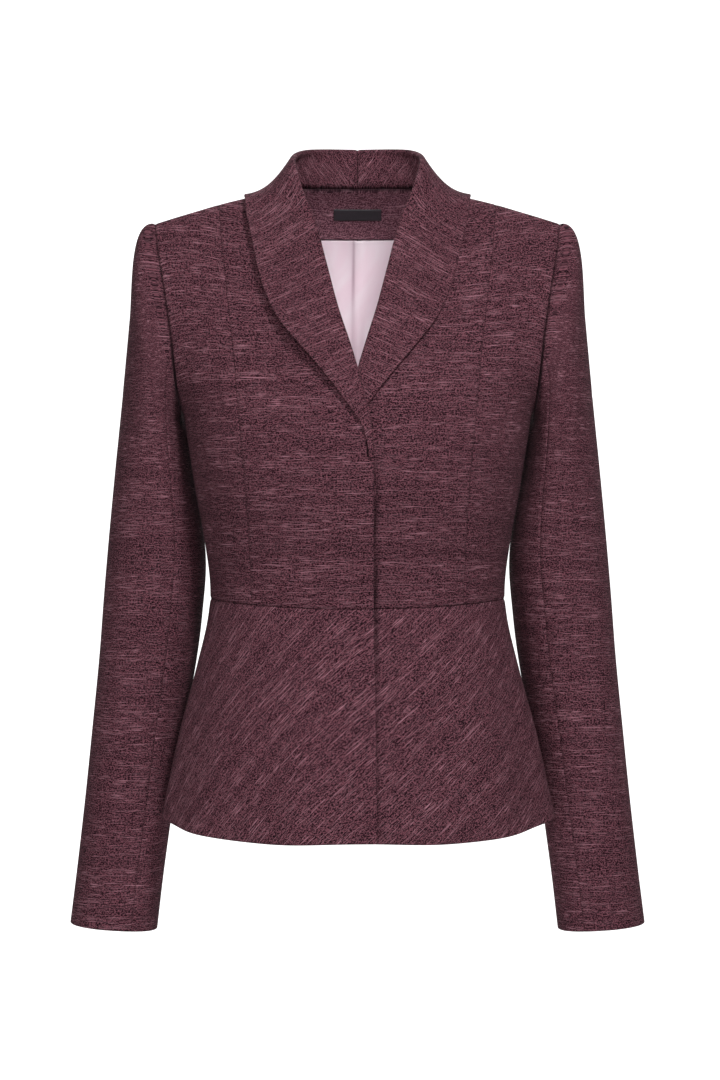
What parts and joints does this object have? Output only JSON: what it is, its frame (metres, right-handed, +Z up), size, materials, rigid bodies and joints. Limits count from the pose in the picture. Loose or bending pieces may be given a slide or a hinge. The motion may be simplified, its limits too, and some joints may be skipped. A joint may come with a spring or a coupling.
{
  "type": "peplum jacket",
  "caption": "Women's fitted peplum jacket in plum slubbed tweed, with a shawl collar, lapped front, two-piece sleeves and a flared peplum, shown filled out with nobody in it.",
  "frame": {"origin": "centre of the neck base, level with the points where the shoulder seams meet the collar; the wearer's shoulders hold the jacket there", "axes": "+Z up, towards the collar; -Y the jacket's front; +X the wearer's left"},
  "size_m": [0.5068, 0.2852, 0.694],
  "materials": {
    "tweed": "matte",
    "lining": "satin",
    "label": "satin"
  },
  "bodies": {
    "root": {"front_centre_right": "tweed", "front_side_right": "tweed", "back_right": "tweed", "sleeve_upper_top_right": "tweed", "sleeve_upper_elbow_right": "tweed", "sleeve_upper_cuff_right": "tweed", "sleeve_under_top_right": "tweed", "sleeve_under_elbow_right": "tweed", "sleeve_under_cuff_right": "tweed", "peplum_front_right": "tweed", "peplum_back_right": "tweed", "collar_right": "tweed", "front_centre_left": "tweed", "front_side_left": "tweed", "back_left": "tweed", "sleeve_upper_top_left": "tweed", "sleeve_upper_elbow_left": "tweed", "sleeve_upper_cuff_left": "tweed", "sleeve_under_top_left": "tweed", "sleeve_under_elbow_left": "tweed", "sleeve_under_cuff_left": "tweed", "peplum_front_left": "tweed", "peplum_back_left": "tweed", "collar_left": "tweed", "facing_back_neck": "tweed", "lining_back": "lining", "label_neck": "label"}
  },
  "joints": []
}
